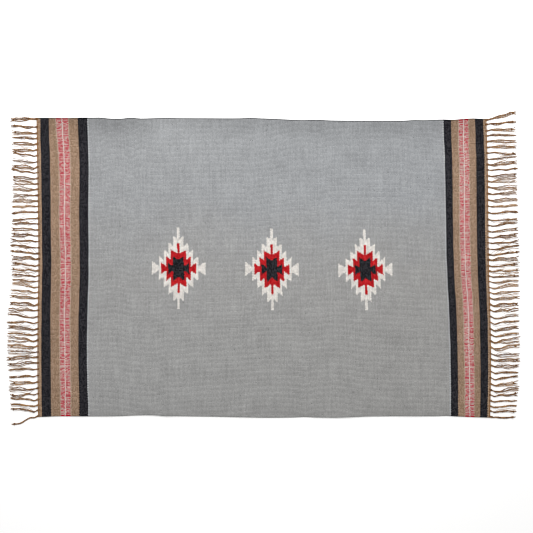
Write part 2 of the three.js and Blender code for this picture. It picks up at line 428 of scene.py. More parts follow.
def woven_cloth(name):
    """The whole cloth as one closed sheet: its section carried along X between the two ends, where
    it rounds down to the floor, over an underside on every UNDER_STEP-th line of the section. Both
    stand off the floor where the cloth is slack."""
    offset, height = woven_section()
    end_inset, end_lift = np.array(END_ROWS).T
    first = EDGE_CORD + FIRST_ROW
    inner = np.linspace(first, CLOTH_LENGTH - first, ROWS_ALONG)
    start = EDGE_CORD + MM * end_inset
    along = np.concatenate((start, inner, CLOTH_LENGTH - start[::-1]))
    lift = np.concatenate((end_lift, np.ones(ROWS_ALONG), end_lift[::-1]))
    share = offset / CLOTH_WIDTH
    x = woven_x(along, share)
    near, far = selvedge_line("near", x), selvedge_line("far", x)
    rise = slack_rise(along, offset)
    top = np.stack((x, near + (far - near) * share, lift[:, None] * height + rise), -1)
    rows, columns = x.shape
    top_index = np.arange(rows * columns).reshape(rows, columns)
    kept = np.arange(0, columns, UNDER_STEP)
    beneath = np.s_[1:-1, kept[1:-1]]
    floor_rise = rise[beneath]
    under = np.dstack((top[beneath][..., :2], floor_rise))
    under_index = top_index[:, kept]
    under_index[1:-1, 1:-1] = top_index.size + np.arange(floor_rise.size).reshape(floor_rise.shape)
    a, b = top_index, under_index
    top_faces = np.stack((a[:-1, :-1], a[1:, :-1], a[1:, 1:], a[:-1, 1:]), -1).reshape(-1, 4)
    under_faces = np.stack((b[1:-2, :-1], b[1:-2, 1:], b[2:-1, 1:], b[2:-1, :-1]), -1).reshape(-1, 4)
    spans = kept[:-1, None] + np.arange(UNDER_STEP + 1)
    left_faces = np.column_stack((a[0, spans], b[1, 1:], b[1, :-1]))
    right_faces = np.column_stack((a[-1, spans[:, ::-1]], b[-2, :-1], b[-2, 1:]))
    points = np.concatenate((top.reshape(-1, 3), under.reshape(-1, 3)))
    piece = mesh_piece(name, points, (top_faces, under_faces, left_faces, right_faces))
    places = np.stack(np.broadcast_arrays(along[:, None], offset, 0.0), -1)
    add_places(piece, "weave", top_and_under(places, beneath))
    row_share = unrolled(np.hypot(np.diff(along), np.diff(lift) * THICKNESS))
    column_share = unrolled(np.hypot(np.diff(offset), np.diff(height)))
    laid = np.stack(np.broadcast_arrays(row_share[:, None], column_share), -1)
    laid = top_and_under(laid, beneath)[face_corners(piece)]
    is_top = np.arange(len(laid)) < top_faces.size
    map_y = np.where(is_top, MAP_TOP * laid[:, 1], MAP_UNDER + (1 - MAP_UNDER) * laid[:, 1])
    add_map(piece, np.column_stack((laid[:, 0], map_y)))
    return piece


class Finish:
    """The shader nodes of one material, each made in a line."""

    def __init__(self, name):
        self.material = bpy.data.materials.new(name)
        self.material.use_nodes = True
        self.tree = self.material.node_tree
        self.surface = self.tree.nodes["Principled BSDF"].inputs

    def link(self, value, socket):
        """Joins another node's output to a socket, or sets a number or colour on it."""
        if isinstance(value, bpy.types.NodeSocket):
            self.tree.links.new(value, socket)
        else:
            socket.default_value = value

    def surfaced(self, values):
        """Gives the surface its colour, roughness and so on, by the names of its sockets."""
        for name, value in values.items():
            self.link(value, self.surface[name])

    def node(self, kind, values=(), output=0, **settings):
        """A node with its settings and its inputs, by number or name. Gives one of its outputs."""
        made = self.tree.nodes.new("ShaderNode" + kind)
        for name, value in settings.items():
            setattr(made, name, value)
        for place, value in dict(values).items():
            self.link(value, made.inputs[place])
        return made.outputs[output]

    def parts(self, place):
        """The three numbers of a place or a colour."""
        return self.node("SeparateXYZ", {0: place}).node.outputs

    def maths(self, operation, *terms):
        """One step of arithmetic."""
        return self.node("Math", enumerate(terms), operation=operation)

    def mixed(self, share, under, over):
        """A colour that goes from under to over as share goes from 0 to 1."""
        return self.node("Mix", {0: share, 6: under, 7: over}, 2, data_type="RGBA")

    def vector(self, x, y, z=0.0):
        """Three numbers as one place."""
        return self.node("CombineXYZ", {0: x, 1: y, 2: z})

    def ranged(self, value, low, high, start=0.0, stop=1.0):
        """A straight map of start to stop onto low to high."""
        values = {"Value": value, "From Min": start, "From Max": stop, "To Min": low, "To Max": high}
        return self.node("MapRange", values, clamp=False)

    def grain(self, sizes, x, y, z=0.0):
        """Smooth noise at a place, by its waves to each unit of x and of y, its detail and its range."""
        waves_x, waves_y, detail, low, high = sizes
        place = self.vector(self.maths("MULTIPLY", x, waves_x), self.maths("MULTIPLY", y, waves_y), z)
        noise = self.node("TexNoise", {"Vector": place, "Scale": 1.0, "Detail": detail})
        return self.ranged(noise, low, high)

    def clamped(self, value):
        """A number kept from 0 to 1."""
        return self.maths("MINIMUM", self.maths("MAXIMUM", value, 0.0), 1.0)

    def joined(self, operation, first, *others):
        """All the terms added or multiplied, one after the other."""
        for other in others:
            first = self.maths(operation, first, other)
        return first

    def shaded(self, colour, tone):
        """A colour made lighter or darker by a factor."""
        return self.node("VectorMath", {0: colour, "Scale": tone}, operation="SCALE")


def toothed(finish, x, y, teeth):
    """1 where a point of a quarter diamond lies in one of the teeth: between its inner and outer
    distance along X, and nearer than the slanting line between its reaches along Y."""
    inside = 0.0
    for inner, outer, low, high in teeth:
        across = finish.maths("COMPARE", x, MM * (inner + outer) / 2, MM * (outer - inner) / 2)
        reach = finish.ranged(x, MM * low, MM * high, MM * inner, MM * outer)
        tooth = finish.maths("MULTIPLY", across, finish.maths("LESS_THAN", y, reach))
        inside = finish.maths("MAXIMUM", inside, tooth)
    return inside


def bell(finish, place, middle, half_width, height):
    """A bell curve of the place, from its middle and half width in millimetres."""
    off = finish.ranged(place, 0.0, 1.0, MM * middle, MM * (middle + half_width))
    fallen = finish.maths("EXPONENT", finish.joined("MULTIPLY", off, off, -1.0))
    return finish.maths("MULTIPLY", fallen, height)


def woven_cotton():
    """Cotton wefts over ribs. A bead is one weft over one rib, and the beads of neighbouring ribs
    lie half a bead apart, so a bead has the colour of every second pick. Its tone wanders from
    bead to bead, from weft to weft and in soft clouds, with painted light on its crown and painted
    shade in its hollows and along the selvedges."""
    finish = Finish("woven_cotton")
    maths, ranged, grain = finish.maths, finish.ranged, finish.grain
    along, across = finish.parts(finish.node("Attribute", attribute_name="weave", output="Vector"))[:2]
    from_far = maths("SUBTRACT", CLOTH_WIDTH, across)

    rib = maths("DIVIDE", across, RIB_PITCH)
    rib_number = maths("FLOOR", rib)
    is_odd = maths("MODULO", rib_number, 2.0)
    pick = maths("ADD", maths("DIVIDE", along, PICK_PITCH), grain(GRAINS["waver"], along, across))
    bead = maths("MULTIPLY", maths("ADD", pick, is_odd), 0.5)
    bead_number = maths("FLOOR", bead)
    bead_pick = maths("SUBTRACT", maths("MULTIPLY_ADD", bead_number, 2.0, 1.0), is_odd)
    bead_along = maths("MULTIPLY", bead_pick, PICK_PITCH)
    bead_across = maths("MULTIPLY", maths("ADD", rib_number, 0.5), RIB_PITCH)
    cell = finish.vector(bead_number, rib_number)
    chances = finish.node("TexWhiteNoise", {"Vector": cell}, "Color", noise_dimensions="2D")
    chance, fading, speck = finish.parts(chances)

    # Each rib keeps the tone of its yarn for a short dash. Red and ivory take turns every rib or two,
    # and the weaver's count slips along the stripe and across it.
    rib_start = finish.node("TexWhiteNoise", {"W": rib_number}, noise_dimensions="1D")
    dash_number = maths("FLOOR", maths("ADD", maths("DIVIDE", bead_along, DASH_LENGTH), rib_start))
    dash_cell = finish.vector(dash_number, rib_number)
    dash = finish.node("TexWhiteNoise", {"Vector": dash_cell}, noise_dimensions="2D")
    slip = grain(GRAINS["slip"], bead_along, bead_across)
    turns = maths("ADD", slip, maths("DIVIDE", rib_number, RED_TURN))
    in_turn = maths("GREATER_THAN", maths("FRACT", turns), 0.5)
    redness = finish.clamped(finish.joined(
        "ADD",
        ranged(in_turn, *REDNESS["turn"]),
        ranged(dash, *REDNESS["dash"]),
        ranged(along, *REDNESS["along"], 0.0, CLOTH_LENGTH),
    ))
    at_edge = maths("LESS_THAN", maths("MINIMUM", across, from_far), RED_EDGE)
    red_and_ivory = finish.mixed(redness, YARNS["stripe ivory"], YARNS["stripe red"])
    red_and_ivory = finish.mixed(at_edge, red_and_ivory, YARNS["spot red"])
    weft = finish.node("TexWhiteNoise", {"W": bead_number}, noise_dimensions="1D")
    faded = finish.joined(
        "ADD",
        ranged(fading, *FADING["bead"]),
        ranged(weft, *FADING["weft"]),
        ranged(dash, *FADING["dash"]),
    )
    shades = {name: finish.mixed(faded, yarn, YARNS["faded " + name])
              for name, yarn in YARNS.items() if "faded " + name in YARNS}
    shades["red and ivory"] = red_and_ivory

    cool_start, cool_stop = (share * CLOTH_WIDTH for share in COOLNESS["shares"])
    cooler = ranged(across, *COOLNESS["across"], cool_start, cool_stop)
    cooler = finish.clamped(maths("ADD", cooler, grain(GRAINS["wash"], along, across)))
    strength = ranged(along, *COOLNESS["along"], 0.0, CLOTH_LENGTH)
    cooler = maths("MULTIPLY_ADD", maths("SUBTRACT", cooler, 0.5), strength, 0.5)
    colour = finish.mixed(cooler, YARNS["warm grey"], YARNS["cool grey"])
    for end, distance in (("left", bead_along), ("right", maths("SUBTRACT", CLOTH_LENGTH, bead_along))):
        for number, (name, *widths) in enumerate(STRIPES):
            start, stop = stripe_reach(end, number - 1), stripe_reach(end, number)
            inside = maths("COMPARE", distance, (start + stop) / 2, (stop - start) / 2)
            colour = finish.mixed(inside, colour, shades.get(name, YARNS.get(name)))

    from_middle = maths("SUBTRACT", bead_along, DIAMOND_MIDDLE[0])
    row_height = maths("MULTIPLY_ADD", from_middle, DIAMOND_ROW_SLANT, DIAMOND_MIDDLE[1])
    diamond_y = maths("SUBTRACT", bead_across, row_height)
    diamond_x = maths("WRAP", from_middle, DIAMOND_SPACING / 2, -DIAMOND_SPACING / 2)
    in_row = maths("COMPARE", from_middle, 0.0, 1.5 * DIAMOND_SPACING)
    tall = maths("ABSOLUTE", diamond_y)
    for name, (slant, teeth) in DIAMOND_TEETH.items():
        wide = maths("ABSOLUTE", maths("MULTIPLY_ADD", diamond_y, slant, diamond_x))
        inside = maths("MULTIPLY", in_row, toothed(finish, wide, tall, teeth))
        colour = finish.mixed(inside, colour, shades[name])

    rib_hollow = maths("ABSOLUTE", maths("MULTIPLY_ADD", maths("FRACT", rib), 2.0, -1.0))
    bead_hollow = maths("ABSOLUTE", maths("MULTIPLY_ADD", maths("FRACT", bead), 2.0, -1.0))
    two_bobbins = grain(GRAINS["two bobbins"], along, across)
    patches = 1.0
    # Painted shade along the selvedges, then the lighter and darker places of the field
    for distance, margin in ((across, MARGIN_SHADE["near"]), (from_far, MARGIN_SHADE["far"])):
        patches = maths("ADD", patches, bell(finish, distance, 0.0, *margin))
    for place_along, place_across, half_along, half_across, change in FIELD_PATCHES:
        along_it = bell(finish, along, place_along, half_along, change)
        across_it = bell(finish, across, place_across, half_across, 1.0)
        patches = maths("MULTIPLY_ADD", along_it, across_it, patches)
    tone = finish.joined(
        "MULTIPLY",
        patches,
        ranged(chance, *TONES["bead"]),
        grain(GRAINS["slub"], along, across),
        grain(GRAINS["weft streak"], bead_along, across),
        grain(GRAINS["warp streak"], along, bead_across),
        grain(GRAINS["cloud"], along, across),
        maths("MULTIPLY_ADD", two_bobbins, ranged(is_odd, -1.0, 1.0), 1.0),
        ranged(maths("GREATER_THAN", speck, 1 - SPECKS), *TONES["speck"]),
        # Painted light on the crowns and painted shade in the hollows, then painted shade at the
        # selvedges
        ranged(maths("POWER", rib_hollow, HOLLOW_SHARPNESS), *TONES["rib hollow"]),
        ranged(maths("POWER", bead_hollow, HOLLOW_SHARPNESS), *TONES["bead hollow"]),
        ranged(maths("LESS_THAN", across, SHADED_EDGE), *TONES["near selvedge"]),
        ranged(maths("LESS_THAN", from_far, SHADED_EDGE), *TONES["far selvedge"]),
    )

    fibre = grain(GRAINS["fibre"], along, across)
    rib_crown = ranged(maths("POWER", rib_hollow, CROWN_SHARPNESS), *CROWNS["rib"])
    bead_crown = ranged(maths("POWER", bead_hollow, CROWN_SHARPNESS), *CROWNS["bead"])
    relief = maths("MULTIPLY_ADD", fibre, FIBRE_RELIEF, maths("MULTIPLY", rib_crown, bead_crown))
    finish.surfaced({
        "Base Color": finish.shaded(colour, tone),
        "Roughness": ranged(fibre, 0.84, 0.98),
        "Specular IOR Level": 0.06,
        "Sheen Weight": 0.03,
        "Sheen Roughness": 0.5,
        "Normal": finish.node("Bump", {"Strength": 0.8, "Distance": 0.7 * MM, "Height": relief}),
    })
    return finish.material


cloth = woven_cloth("woven_cloth")
cloth.data.materials.append(woven_cotton())
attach(cloth, "root")
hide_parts("rug_cloth")

# Fringes. Past the last pick a cord is twined round the warps, and beyond it they lie out on the
# floor in strands: two plies of two yarns, loosely twisted, with fine yarns beside them that have
# worked loose. A strand ends in an overhand knot and a short tuft, or is forked or frayed to a fan.
STRANDS = 52
STRAND_STEPS = 44
ROOT_DEPTH = 7 * MM
CORNER_INSET = 4 * MM
ROOT_WANDER = 1.5 * MM
LEAN_WANDER = 4 * MM
SWAY_WANDER = 2.5 * MM
REACH_WANDER = 3 * MM
FORK_WIDTH = 9 * MM
# Shares of a strand's length: over which its waves begin, where it dips and how widely, over which a
# frayed strand opens, a yarn leaves or comes back, and the yarns gather at the root
WAVES_BEGIN = 0.2
DIP_PLACE = 0.14
DIP_WIDTH = 0.09
FRAY_OPENS = 0.45
YARN_LEAVES = 0.25
ROOT_GATHERS = 0.06
# How the tips open: evenly at 1, early below it and late above it
FORK_CURVE = 1.2
FRAY_CURVE = 0.8
FAN_CURVE = 1.2
# Thick yarns: their thickness, turns round their ply and circle there, the plies' ellipse round the
# strand and how much wider a loose one is, their height, their spread, and how they taper
YARN_RADIUS = 0.92 * MM
YARN_SIDES = 6
YARN_TURNS = 6
YARN_STAGGER = 0.13
YARN_ASIDE = 1.05 * MM
YARN_UP = 0.85 * MM
PLY_ASIDE = 1.4 * MM
PLY_LOOSE = 3 * MM
PLY_UP = 0.5 * MM
SLACK_TURNS = 0.1
STRAND_LIFT = 2.85 * MM
FLAT_LIFT = 1.35 * MM
ROOT_SPREAD = 2.8 * MM
ROOT_DRAW = 0.6
FRAY_SPREAD = 5 * MM
ROOT_SWELL = 1.2
TAPER = 0.25
TIP_TAPER = 0.4
FRAY_TAPER = 0.6
# Fine yarns: the same, how they wave and stray, which of them come back and where, how far they
# stray at a corner, and how much paler they are
FINE_YARNS = 8
FINE_RADIUS = 0.54 * MM
FINE_SIDES = 3
FINE_TURNS = 2.1
FINE_STAGGER = 0.29
FINE_ASIDE = 2.2 * MM
FINE_UP = 1.5 * MM
FINE_LIFT = 2.6 * MM
FINE_FLAT_LIFT = 1.1 * MM
FINE_SPREAD = 6 * MM
FINE_WIDENS = (0.2, 6)
FINE_WAVE = 0.9 * MM
FINE_WAVES = 1.5
WAVE_STAGGER = 0.37
STRAY = (5 * MM, 6 * MM)
RETURNING = -0.2
RETURN_PLACE = 0.6
CORNER_FUZZ = 0.35
FINE_PALER = 0.9
# Knots: how frayed or fanned out a strand can be and have one, how they draw the plies in, the
# turns, half sizes and thickness of their coil, and how much darker they are
KNOT_LIMIT = 0.35
KNOT_DRAW = 0.35
KNOT_REACH = 0.05
KNOT_HALF = 0.02
KNOT_TURNS = 1.5
KNOT_STEPS = 19
KNOT_SIDES = 6
KNOT_LENGTH = 2.1 * MM
KNOT_ROLL = 0.8 * MM
KNOT_WIDTH = 3.3 * MM
KNOT_LIFT = 3.3 * MM
KNOT_UP = 1.4 * MM
KNOT_RADIUS = 1.8 * MM
KNOT_TUCK = 0.35
KNOT_DARKER = 1.2
# Twined cord: its steps and turns, where it lies from the end, its mottles and how wide its painted
# shade is at each strand's root
TWINE_STEPS = 620
TWINE_PITCH = 11.2 * MM
TWINE_RADIUS = 1.3 * MM
TWINE_INSET = 2.2 * MM
TWINE_ASIDE = 1.1 * MM
TWINE_LIFT = 2.5 * MM
TWINE_UP = 1.15 * MM
TWINE_END = 1 * MM
TWINE_MOTTLES = 160
TWINE_SHADE_WIDTH = 4 * MM
# The warp yarn: its colours, its twists to a metre, its unevenness, how pale a strand is by its tone,
# its painted shade from the root out and in the grooves of its twist, its tone by its fibres, how high
# its fibres stand on the twist, and the part of a map strip that is left free at each side
WARP_DARK = dyed(110, 72, 40)
WARP_PALE = dyed(206, 162, 113)
WARP_TWISTS = 260
WARP_GRAINS = {"worn": (60, 37, 2, -0.9, 0.9), "fibre": (900, 6, 2, 0, 1)}
PALENESS = (0.16, 0.5)
ROOT_TONES = (0.86, 1.08)
ROOT_SHADE = 40 * MM
TWIST_TONES = (0.84, 1.1)
FIBRE_TONES = (0.75, 1.25)
WARP_RELIEF = 0.5
STRIP_MARGIN = 0.1

# Features of a strand or a yarn: the trait by which they wander, their middle value, and how far
# they wander to either side of it
FEATURES = {
    "slow waves": ("kink", 0.9, 0.4),
    "slow height": ("wave", 1.1, 1),
    "quick waves": ("wave", 3.1, 1),
    "quick height": ("wave", 0.35, -0.2),
    "dip": ("dip", 1, 0.8),
    "fork": ("fork", -0.3, 1),
    "fork place": ("split", 0.62, 0.15),
    "fray": ("fray", -0.6, 2.2),
    "fray place": ("split", 0.2, 0.15),
    "opening place": ("split", 0.12, 0.1),
    "crossing place": ("split", 0.45, 0.25),
    "looseness": ("open", 0.1, 1.6),
    "thickness": ("thick", 0.98, 0.3),
    "ply turns": ("twist", 1.5, 0.3),
    "knot place": ("knot", 0.89, 0.05),
    "knot size": ("fan", 1, 0.18),
    "fan": ("fan", 2.2, 1.6),
    "overhang": ("length", 2.5, 3.5),
    "fuzz": ("fuzz", 0, 0.6),
    "leaving place": ("loose place", 0.18, 0.24),
    "fine thickness": ("length", 1, 0.25),
    "fine overhang": ("length", -3, 5),
}
# What tells the wanders of a strand apart, and how they are scrambled
TRAITS = ("", "root", "reach", "lean", "sway", "split", "open", "twist", "knot", "fan", "tone", "kink",
          "dip", "fork", "loose", "loose place", "fuzz", "free", "length", "thick", "fray", "wave",
          "mottle")
STRAND_STRIDE = 12.9898
TRAIT_STRIDE = 78.233
SCRAMBLE = 4375.8545

# A strand from root to tip: the share of its reach, how much of the bend and of the lean it has
# taken there, and its share of the sway
STRAND_SHARES = (0, 0.15, 0.38, 0.64, 0.83, 0.89, 0.94, 1)
BEND_SHARES = (0, 1, 0.7, 0.3, 0.1, 0, 0, 0)
LEAN_SHARES = (0, 0.05, 0.3, 0.65, 0.9, 0.95, 0.98, 1)
SWAY_SHARES = (0, 0, 1, -0.8, -0.2, 0, 0, 0)

# The four thick yarns of a strand: the side of the strand of their ply, their own side of the ply,
# their place across a fan, and how thick they are
YARN_PLACES = ((1, 1, 1, 1), (1, -1, 0.3, 0.75), (-1, 1, -0.45, 0.95), (-1, -1, -1.1, 0.7))

# How the strands of each fringe lie, from the near selvedge to the far one: how far the roots lie
# aside of even spacing, how far the strands reach, how far they bend aside outside the cloth, how
# far the tips end aside of the roots, which neighbours lean together at their tips and how far, how
# far they dip near the root, how far the fine yarns stray, and for the strands at a corner how far
# they sweep aside and sway, how thick they are, how loose and of what tone
FRINGES = {
    "left": {
        "outward": -1,
        "root": (0, -5, 2, 0, 2, 5, -1, -1, 0, -2, -6, -8, -11),
        "reach": (106, 108, 116, 118, 118, 105, 106, 108, 103, 100, 99, 95, 102),
        "bend": (-4, -2, 1, -2, -2, 0, -1, 2, 3, 0, -3, -1, 2),
        "lean": (8, -5, -5, 2, 5, 10, 7, 6, -4, 2, 7, 3, 1),
        "pairs": ((3, 5), (11, 5), (17, 3), (22, 5), (29, 3), (33, 5), (42, 4), (45, 5.5)),
        "dip": 2.3,
        "fuzz": 1.1,
        "corners": ((0, -43, 1.6, 0.85, 0, -0.3), (51, -5, 1.4, 1.5, 0.9, -0.8)),
    },
    "right": {
        "outward": 1,
        "root": (0, -8, -5, -1, 6, 7, 0, -3, -1, 9, 8, 5, 4),
        "reach": (100, 107, 109, 113, 111, 116, 119, 118, 117, 116, 115, 114, 117),
        "bend": (-3, -5, -6, -6, -7, -4, -3, -2, -2, -3, -2, 3, 3),
        "lean": (-2, 3, 0, 3, 4, 5, 6, 8, 5, 1, 8, 0, 8),
        "pairs": ((7, 3), (16, 3), (22, 4), (29, 5), (33, 6), (38, 5), (44, 6)),
        "dip": 0.8,
        "fuzz": 0.9,
        "corners": ((0, -1.5, -1.4, 1.1, 0, -0.6), (51, 20, 2.5, 1.1, 1, -0.3)),
    },
}


def wander(strands, trait):
    """Numbers from -1 to 1 that look random and are always the same: the part behind the point of
    a large sine of each strand's number and the trait's."""
    wave = np.sin(strands * STRAND_STRIDE + TRAITS.index(trait) * TRAIT_STRIDE) * SCRAMBLE
    return 2 * (wave - np.floor(wave)) - 1


def feature(numbers, name):
    """A feature of each strand or yarn as a column: its middle value plus its wander."""
    trait, middle, aside = FEATURES[name]
    return middle + aside * wander(numbers, trait)[:, None]


def tubes(paths, radii, sides, reference):
    """Points and faces of closed tubes: a ring of sides round each point of each path, square to
    the path and turned from the reference direction, with a flat cap at both ends."""
    way = np.gradient(paths, axis=1)
    way /= np.linalg.norm(way, axis=-1, keepdims=True)
    aside = np.cross(reference, way)
    aside /= np.linalg.norm(aside, axis=-1, keepdims=True)
    upward = np.cross(way, aside)
    turn = 2 * np.pi * np.arange(sides) / sides
    ring = aside[:, :, None] * np.cos(turn)[:, None] + upward[:, :, None] * np.sin(turn)[:, None]
    points = paths[:, :, None] + radii[:, :, None, None] * ring
    count, steps = paths.shape[:2]
    index = np.arange(count * steps * sides).reshape(count, steps, sides)
    turned = np.roll(index, -1, 2)
    walls = np.stack((index[:, :-1], turned[:, :-1], turned[:, 1:], index[:, 1:]), -1).reshape(-1, 4)
    caps = np.concatenate((index[:, 0, ::-1], index[:, -1]))
    return points.reshape(-1, 3), walls, caps


def strand_lines(fringe, end):
    """The strands' middle lines on the floor: X goes out evenly, and Y adds to the root's place the
    bend, the lean and the sway, each by its shares along the strand, two small waves and a dip near
    the root."""
    strands = np.arange(STRANDS)
    share = strands / (STRANDS - 1)
    row_ends = [selvedge_line(side, np.array(CLOTH_ENDS[end])) for side in ("near", "far")]
    root = np.interp(share, (0, 1), (row_ends[0] + CORNER_INSET, row_ends[1] - CORNER_INSET))
    inner = (strands > 0) & (strands < STRANDS - 1)
    root += inner * (drift(fringe["root"], share) + ROOT_WANDER * wander(strands, "root"))
    reach = drift(fringe["reach"], share) + REACH_WANDER * wander(strands, "reach")
    own_lean = LEAN_WANDER * wander(strands, "lean")
    for strand, together in fringe["pairs"]:
        own_lean[strand:strand + 2] = MM * together, -MM * together
    sway = SWAY_WANDER * wander(strands, "sway")
    for strand, sweep, own_sway, *looks in fringe["corners"]:
        own_lean[strand] = MM * sweep
        sway[strand] = MM * own_sway
    lean = drift(fringe["lean"], share) + own_lean
    bend = drift(fringe["bend"], share)
    edge = CLOTH_ENDS[end] + fringe["outward"] * drift(END_DRIFT[end], share)
    going = np.linspace(-ROOT_DEPTH / reach, np.ones(STRANDS), STRAND_STEPS, axis=1)
    y = np.tile(root[:, None], STRAND_STEPS)
    for moved, shares in ((bend, BEND_SHARES), (lean, LEAN_SHARES), (sway, SWAY_SHARES)):
        y += moved[:, None] * smooth_through(STRAND_SHARES, shares, going)
    begun = np.clip(going / WAVES_BEGIN, 0, 1)
    for pace, start in (("slow", "wave"), ("quick", "kink")):
        turns = feature(strands, pace + " waves") * going + wander(strands, start)[:, None]
        y += MM * feature(strands, pace + " height") * np.sin(2 * np.pi * turns) * begun
    dip = MM * fringe["dip"] * feature(strands, "dip")
    y -= dip * np.exp(-((going - DIP_PLACE) / DIP_WIDTH) ** 2)
    x = edge[:, None] + fringe["outward"] * going * reach[:, None]
    return strands, going, x, y


def strand_fork(strands, going):
    """How far the plies of a forked strand lie aside of its middle line: nothing up to the place
    where it comes apart, then wider and wider to the tip."""
    start = feature(strands, "fork place")
    width = FORK_WIDTH * np.clip(feature(strands, "fork"), 0, 1)
    return width * np.clip((going - start) / (1 - start), 0, 1) ** FORK_CURVE


def strand_fray(strands, going):
    """How far a strand is frayed, from 0 to 1: nothing on most strands, and on the others nothing
    up to a place of its own, then more and more to the tip."""
    frayed = np.clip(feature(strands, "fray"), 0, 1)
    start = feature(strands, "fray place")
    return frayed * np.clip((going - start) / FRAY_OPENS, 0, 1) ** FRAY_CURVE


def smooth_step(share):
    """From 0 to 1 with level ends, three squares less two cubes, and level outside."""
    share = np.clip(share, 0, 1)
    return share**2 * (3 - 2 * share)


def strand_yarns(fringe, strands, going, x, y):
    """Paths and radii of the four thick yarns of each strand. They come out of the cloth side by side
    and gather. Two plies circle the middle line in a flat ellipse, which in a loose strand widens
    soon after the root and hardly turns, and two yarns circle each ply. A knot draws the plies in.
    Where the strand is frayed, and past the knot, the yarns fan out and taper."""
    loose = np.clip(feature(strands, "looseness"), 0, 1)
    thick = feature(strands, "thickness")
    for strand, sweep, own_sway, own_thickness, own_looseness, corner_tone in fringe["corners"]:
        thick[strand] = own_thickness
        loose[strand] = own_looseness
    turns = SLACK_TURNS + (1 - loose) * feature(strands, "ply turns")
    knot = feature(strands, "knot place")
    fork = strand_fork(strands, going)
    fray = strand_fray(strands, going)
    opening = smooth_step((going - feature(strands, "opening place")) / YARN_LEAVES)
    apart = thick * (PLY_ASIDE + PLY_LOOSE * loose * opening)
    apart *= 1 - KNOT_DRAW * np.exp(-((going - knot) / KNOT_REACH) ** 2)
    past = np.clip((going - knot - KNOT_HALF) / (1 - knot), 0, 1)
    fan = MM * feature(strands, "fan") * past**FAN_CURVE
    gather = np.exp(-(np.clip(going, 0, 1) / ROOT_GATHERS) ** 2)
    ply_turn = 2 * np.pi * turns * (going - feature(strands, "crossing place"))
    flat = np.maximum(past, fray)
    taper = (ROOT_SWELL - TAPER * going) * (1 - TIP_TAPER * np.maximum(past, FRAY_TAPER * fray))
    paths, radii = [], []
    for number, (ply_side, yarn_side, spread, share) in enumerate(YARN_PLACES):
        yarn_turn = 2 * np.pi * (YARN_TURNS * going + YARN_STAGGER * strands[:, None])
        yarn_turn = yarn_turn + np.pi * (yarn_side > 0)
        aside = ply_side * (apart * np.cos(ply_turn) + fork)
        aside = aside + YARN_ASIDE * np.cos(yarn_turn) * (1 - past)
        aside = aside * (1 - ROOT_DRAW * gather)
        aside = aside + spread * (fan + FRAY_SPREAD * fray + ROOT_SPREAD * gather)
        lift = STRAND_LIFT + ply_side * PLY_UP * np.sin(ply_turn) + YARN_UP * np.sin(yarn_turn)
        lift = (lift + YARN_RADIUS * (thick - 1)) * (1 - flat) + FLAT_LIFT * flat
        overhang = feature(len(YARN_PLACES) * strands + number, "overhang")
        longer = fringe["outward"] * MM * past * overhang
        paths.append(np.stack((x + longer, y + aside, lift), -1))
        radii.append(share * YARN_RADIUS * thick * taper)
    return np.concatenate(paths), np.concatenate(radii)


def loose_yarns(fringe, strands, going, x, y):
    """Paths and radii of the fine yarns of each strand. Each winds round the strand up to a place of
    its own, leaves it in a smooth step and lies on the floor beside it, waving a little, and some
    come back at the knot. Where the strand is frayed they spread."""
    fray = strand_fray(strands, going)
    fuzz = fringe["fuzz"] + feature(strands, "fuzz")
    fuzz[[0, -1]] = CORNER_FUZZ
    paths, radii = [], []
    for number in range(FINE_YARNS):
        own = FINE_YARNS * strands + number
        away = smooth_step((going - feature(own, "leaving place")) / YARN_LEAVES)
        returns = wander(own, "free")[:, None] < RETURNING
        away = away * (1 - returns * smooth_step((going - RETURN_PLACE) / YARN_LEAVES))
        down = np.maximum(away, fray)
        out = wander(own, "loose")[:, None]
        out = fuzz * out * (STRAY[0] + STRAY[1] * out**2)
        turn = 2 * np.pi * (FINE_TURNS * going + number / FINE_YARNS + FINE_STAGGER * strands[:, None])
        wave = np.sin(2 * np.pi * (FINE_WAVES * going + WAVE_STAGGER * own[:, None]))
        wave = FINE_WAVE * wave * np.clip(going / YARN_LEAVES, 0, 1)
        spread = FINE_SPREAD * fray * (2 * number / (FINE_YARNS - 1) - 1)
        winding = np.clip(FINE_WIDENS[0] + FINE_WIDENS[1] * going, 0, 1) * (1 - down)
        aside = out * away + wave + spread + FINE_ASIDE * np.cos(turn) * winding
        lift = (FINE_LIFT + FINE_UP * np.sin(turn)) * (1 - down) + FINE_FLAT_LIFT * down
        at_tip = np.clip(1 - (1 - going) / YARN_LEAVES, 0, 1)
        longer = fringe["outward"] * MM * feature(own, "fine overhang") * at_tip
        paths.append(np.stack((x + longer, y + aside, lift), -1))
        radii.append(np.broadcast_to(FINE_RADIUS * feature(own, "fine thickness"), going.shape))
    return np.concatenate(paths), np.concatenate(radii)


def strand_knots(fringe, strands, going, x, y):
    """The strands that are knotted, and the paths and radii of their overhand knots: one and a half
    turns of a slanting flat ellipse round the strand, thinner where they tuck in."""
    knotted = (strand_fray(strands, going)[:, -1] < KNOT_LIMIT) & (wander(strands, "fan") < KNOT_LIMIT)
    knot = feature(strands, "knot place")[:, 0]
    branch = y + strand_fork(strands, going)
    middle = np.stack([[np.interp(k, g, line) for k, g, line in zip(knot, going, lines)]
                       for lines in (x, branch)], -1)[knotted]
    turn = 2 * np.pi * np.linspace(0, KNOT_TURNS, KNOT_STEPS)
    slant = np.linspace(-1, 1, KNOT_STEPS)
    size = feature(strands, "knot size")[knotted]
    paths = np.stack(np.broadcast_arrays(
        middle[:, :1] + fringe["outward"] * (KNOT_LENGTH * slant + KNOT_ROLL * np.sin(turn)),
        middle[:, 1:] + KNOT_WIDTH * size * np.cos(turn),
        KNOT_LIFT + KNOT_UP * np.sin(turn),
    ), -1)
    radii = KNOT_RADIUS * np.broadcast_to(1 - KNOT_TUCK * slant**4, paths.shape[:2])
    return strands[knotted], paths, radii


